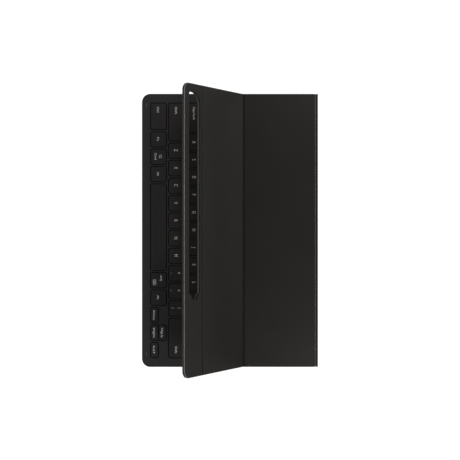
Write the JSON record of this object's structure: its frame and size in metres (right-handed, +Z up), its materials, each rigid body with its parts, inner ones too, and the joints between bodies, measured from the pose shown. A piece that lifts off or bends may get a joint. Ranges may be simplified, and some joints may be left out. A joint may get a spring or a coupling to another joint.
{
  "type": "tablet keyboard case",
  "caption": "Slim folding case for a tablet: a thin keyboard joined by a soft spine to a two-part back cover with a long pen and camera opening.",
  "frame": {"origin": "middle of the footprint on the table, under the keyboard's bottom skin", "axes": "+X along the key rows to the typist's right, +Y from the front edge to the spine, +Z up"},
  "size_m": [0.256, 0.1642, 0.0924],
  "materials": {
    "outer_leather": "matte fine-grain polyurethane leather, near black",
    "deck_plastic": "matte soft-touch, near black",
    "keycap_plastic": "matte black with printed light grey legends",
    "cover_lining": "short-pile microfibre, dark grey",
    "stiffener_board": "glass-fibre board",
    "base_plate_steel": "rolled sheet",
    "wire_steel": "drawn wire",
    "circuit_film": "polyester film",
    "dome_silicone": "black silicone",
    "circuit_board": "solder mask",
    "connector_plastic": "moulded",
    "contact_gold": "gold plated",
    "magnet_metal": "nickel plated",
    "bumper_rubber": "matte"
  },
  "bodies": {
    "keyboard": {"keyboard_bottom_skin": "outer_leather", "keyboard_base_plate": "base_plate_steel", "membrane_circuit": "circuit_film", "dome_sheet": "dome_silicone", "keyboard_deck": "deck_plastic", "controller_board": "circuit_board", "flex_cable": "circuit_film", "dock_ridge": "deck_plastic", "pogo_housing": "connector_plastic", "dock_magnet_left": "magnet_metal", "dock_magnet_right": "magnet_metal", "bumper_left": "bumper_rubber", "bumper_right": "bumper_rubber", "spine_lower_crease": "outer_leather"},
    "spine": {"spine_skin": "outer_leather", "spine_board": "stiffener_board", "spine_upper_crease": "outer_leather"},
    "rear_panel": {"rear_panel_skin": "outer_leather", "rear_panel_board": "stiffener_board", "rear_panel_lining": "cover_lining", "main_crease": "outer_leather"},
    "front_panel": {"front_panel_skin": "outer_leather", "front_panel_board": "stiffener_board", "front_panel_magnet_strip": "magnet_metal", "front_panel_lining": "cover_lining", "flap_crease": "outer_leather"},
    "pen_flap": {"pen_flap_skin": "outer_leather", "pen_flap_board": "stiffener_board", "pen_flap_lining": "cover_lining"},
    "space_stabiliser": {"space_stabiliser": "wire_steel"},
    "pogo_pin_left": {"pogo_pin_left": "contact_gold"},
    "pogo_pin_centre": {"pogo_pin_centre": "contact_gold"},
    "pogo_pin_right": {"pogo_pin_right": "contact_gold"},
    "key_ctrl": {"key_ctrl": "keycap_plastic"},
    "key_fn": {"key_fn": "keycap_plastic"},
    "key_cmd": {"key_cmd": "keycap_plastic"},
    "key_alt_left": {"key_alt_left": "keycap_plastic"},
    "key_space": {"key_space": "keycap_plastic"},
    "key_lang": {"key_lang": "keycap_plastic"},
    "key_alt_right": {"key_alt_right": "keycap_plastic"},
    "key_arrow_left": {"key_arrow_left": "keycap_plastic"},
    "key_arrow_down": {"key_arrow_down": "keycap_plastic"},
    "key_arrow_up": {"key_arrow_up": "keycap_plastic"},
    "key_arrow_right": {"key_arrow_right": "keycap_plastic"},
    "key_shift_left": {"key_shift_left": "keycap_plastic"},
    "key_z": {"key_z": "keycap_plastic"},
    "key_x": {"key_x": "keycap_plastic"},
    "key_c": {"key_c": "keycap_plastic"},
    "key_v": {"key_v": "keycap_plastic"},
    "key_b": {"key_b": "keycap_plastic"},
    "key_n": {"key_n": "keycap_plastic"},
    "key_m": {"key_m": "keycap_plastic"},
    "key_comma": {"key_comma": "keycap_plastic"},
    "key_period": {"key_period": "keycap_plastic"},
    "key_slash": {"key_slash": "keycap_plastic"},
    "key_shift_right": {"key_shift_right": "keycap_plastic"},
    "keys_home_row": {"keys_home_row": "keycap_plastic"},
    "keys_upper_row": {"keys_upper_row": "keycap_plastic"},
    "keys_number_row": {"keys_number_row": "keycap_plastic"},
    "keys_function_row": {"keys_function_row": "keycap_plastic"}
  },
  "joints": [
    {"name": "cover_spine_lower", "type": "hinge", "parent": "keyboard", "child": "spine", "pos_m": [0, 0.0811, 0.00065], "axis": [-1, 0, 0], "range_deg": [0, 180]},
    {"name": "cover_spine_upper", "type": "hinge", "parent": "spine", "child": "rear_panel", "pos_m": [0, 0.0811, 0.0129], "axis": [-1, 0, 0], "range_deg": [0, 180]},
    {"name": "cover_fold_main", "type": "hinge", "parent": "rear_panel", "child": "front_panel", "pos_m": [0, 0.01294, 0.0138], "axis": [1, 0, 0], "range_deg": [-60, 57]},
    {"name": "cover_fold_pen_flap", "type": "hinge", "parent": "front_panel", "child": "pen_flap", "pos_m": [0, -0.0235, 0.06991], "axis": [1, 0, 0], "range_deg": [-100, 0]},
    {"name": "key_ctrl_press", "type": "slide", "parent": "keyboard", "child": "key_ctrl", "axis": [0, 0, -1], "range_m": [0, 0.0012], "stiffness_N_per_m": 60, "springref_m": -0.001, "deforming": ["dome_sheet"]},
    {"name": "key_fn_press", "type": "slide", "parent": "keyboard", "child": "key_fn", "axis": [0, 0, -1], "range_m": [0, 0.0012], "stiffness_N_per_m": 60, "springref_m": -0.001, "deforming": ["dome_sheet"]},
    {"name": "key_cmd_press", "type": "slide", "parent": "keyboard", "child": "key_cmd", "axis": [0, 0, -1], "range_m": [0, 0.0012], "stiffness_N_per_m": 60, "springref_m": -0.001, "deforming": ["dome_sheet"]},
    {"name": "key_alt_left_press", "type": "slide", "parent": "keyboard", "child": "key_alt_left", "axis": [0, 0, -1], "range_m": [0, 0.0012], "stiffness_N_per_m": 60, "springref_m": -0.001, "deforming": ["dome_sheet"]},
    {"name": "key_space_press", "type": "slide", "parent": "keyboard", "child": "key_space", "axis": [0, 0, -1], "range_m": [0, 0.0012], "stiffness_N_per_m": 60, "springref_m": -0.001, "deforming": ["dome_sheet"]},
    {"name": "key_lang_press", "type": "slide", "parent": "keyboard", "child": "key_lang", "axis": [0, 0, -1], "range_m": [0, 0.0012], "stiffness_N_per_m": 60, "springref_m": -0.001, "deforming": ["dome_sheet"]},
    {"name": "key_alt_right_press", "type": "slide", "parent": "keyboard", "child": "key_alt_right", "axis": [0, 0, -1], "range_m": [0, 0.0012], "stiffness_N_per_m": 60, "springref_m": -0.001, "deforming": ["dome_sheet"]},
    {"name": "key_arrow_left_press", "type": "slide", "parent": "keyboard", "child": "key_arrow_left", "axis": [0, 0, -1], "range_m": [0, 0.0012], "stiffness_N_per_m": 60, "springref_m": -0.001, "deforming": ["dome_sheet"]},
    {"name": "key_arrow_down_press", "type": "slide", "parent": "keyboard", "child": "key_arrow_down", "axis": [0, 0, -1], "range_m": [0, 0.0012], "stiffness_N_per_m": 60, "springref_m": -0.001, "deforming": ["dome_sheet"]},
    {"name": "key_arrow_up_press", "type": "slide", "parent": "keyboard", "child": "key_arrow_up", "axis": [0, 0, -1], "range_m": [0, 0.0012], "stiffness_N_per_m": 60, "springref_m": -0.001, "deforming": ["dome_sheet"]},
    {"name": "key_arrow_right_press", "type": "slide", "parent": "keyboard", "child": "key_arrow_right", "axis": [0, 0, -1], "range_m": [0, 0.0012], "stiffness_N_per_m": 60, "springref_m": -0.001, "deforming": ["dome_sheet"]},
    {"name": "key_shift_left_press", "type": "slide", "parent": "keyboard", "child": "key_shift_left", "axis": [0, 0, -1], "range_m": [0, 0.0012], "stiffness_N_per_m": 60, "springref_m": -0.001, "deforming": ["dome_sheet"]},
    {"name": "key_z_press", "type": "slide", "parent": "keyboard", "child": "key_z", "axis": [0, 0, -1], "range_m": [0, 0.0012], "stiffness_N_per_m": 60, "springref_m": -0.001, "deforming": ["dome_sheet"]},
    {"name": "key_x_press", "type": "slide", "parent": "keyboard", "child": "key_x", "axis": [0, 0, -1], "range_m": [0, 0.0012], "stiffness_N_per_m": 60, "springref_m": -0.001, "deforming": ["dome_sheet"]},
    {"name": "key_c_press", "type": "slide", "parent": "keyboard", "child": "key_c", "axis": [0, 0, -1], "range_m": [0, 0.0012], "stiffness_N_per_m": 60, "springref_m": -0.001, "deforming": ["dome_sheet"]},
    {"name": "key_v_press", "type": "slide", "parent": "keyboard", "child": "key_v", "axis": [0, 0, -1], "range_m": [0, 0.0012], "stiffness_N_per_m": 60, "springref_m": -0.001, "deforming": ["dome_sheet"]},
    {"name": "key_b_press", "type": "slide", "parent": "keyboard", "child": "key_b", "axis": [0, 0, -1], "range_m": [0, 0.0012], "stiffness_N_per_m": 60, "springref_m": -0.001, "deforming": ["dome_sheet"]},
    {"name": "key_n_press", "type": "slide", "parent": "keyboard", "child": "key_n", "axis": [0, 0, -1], "range_m": [0, 0.0012], "stiffness_N_per_m": 60, "springref_m": -0.001, "deforming": ["dome_sheet"]},
    {"name": "key_m_press", "type": "slide", "parent": "keyboard", "child": "key_m", "axis": [0, 0, -1], "range_m": [0, 0.0012], "stiffness_N_per_m": 60, "springref_m": -0.001, "deforming": ["dome_sheet"]},
    {"name": "key_comma_press", "type": "slide", "parent": "keyboard", "child": "key_comma", "axis": [0, 0, -1], "range_m": [0, 0.0012], "stiffness_N_per_m": 60, "springref_m": -0.001, "deforming": ["dome_sheet"]},
    {"name": "key_period_press", "type": "slide", "parent": "keyboard", "child": "key_period", "axis": [0, 0, -1], "range_m": [0, 0.0012], "stiffness_N_per_m": 60, "springref_m": -0.001, "deforming": ["dome_sheet"]},
    {"name": "key_slash_press", "type": "slide", "parent": "keyboard", "child": "key_slash", "axis": [0, 0, -1], "range_m": [0, 0.0012], "stiffness_N_per_m": 60, "springref_m": -0.001, "deforming": ["dome_sheet"]},
    {"name": "key_shift_right_press", "type": "slide", "parent": "keyboard", "child": "key_shift_right", "axis": [0, 0, -1], "range_m": [0, 0.0012], "stiffness_N_per_m": 60, "springref_m": -0.001, "deforming": ["dome_sheet"]},
    {"name": "keys_home_row_press", "type": "slide", "parent": "keyboard", "child": "keys_home_row", "axis": [0, 0, -1], "range_m": [0, 0.0012], "stiffness_N_per_m": 60, "springref_m": -0.001, "deforming": ["dome_sheet"]},
    {"name": "keys_upper_row_press", "type": "slide", "parent": "keyboard", "child": "keys_upper_row", "axis": [0, 0, -1], "range_m": [0, 0.0012], "stiffness_N_per_m": 60, "springref_m": -0.001, "deforming": ["dome_sheet"]},
    {"name": "keys_number_row_press", "type": "slide", "parent": "keyboard", "child": "keys_number_row", "axis": [0, 0, -1], "range_m": [0, 0.0012], "stiffness_N_per_m": 60, "springref_m": -0.001, "deforming": ["dome_sheet"]},
    {"name": "keys_function_row_press", "type": "slide", "parent": "keyboard", "child": "keys_function_row", "axis": [0, 0, -1], "range_m": [0, 0.0012], "stiffness_N_per_m": 60, "springref_m": -0.001, "deforming": ["dome_sheet"]},
    {"name": "pogo_pin_left_press", "type": "slide", "parent": "keyboard", "child": "pogo_pin_left", "axis": [0, 0, -1], "range_m": [0, 0.0004], "stiffness_N_per_m": 40, "springref_m": -0.0005},
    {"name": "pogo_pin_centre_press", "type": "slide", "parent": "keyboard", "child": "pogo_pin_centre", "axis": [0, 0, -1], "range_m": [0, 0.0004], "stiffness_N_per_m": 40, "springref_m": -0.0005},
    {"name": "pogo_pin_right_press", "type": "slide", "parent": "keyboard", "child": "pogo_pin_right", "axis": [0, 0, -1], "range_m": [0, 0.0004], "stiffness_N_per_m": 40, "springref_m": -0.0005},
    {"name": "space_stabiliser_turn", "type": "hinge", "parent": "keyboard", "child": "space_stabiliser", "pos_m": [-0.00306, -0.06286, 0.00235], "axis": [1, 0, 0], "range_deg": [0, 10.2]}
  ],
  "couplings": [
    {"joint": "space_stabiliser_turn", "follows": "key_space_press", "rad_per_m": 142.53}
  ]
}
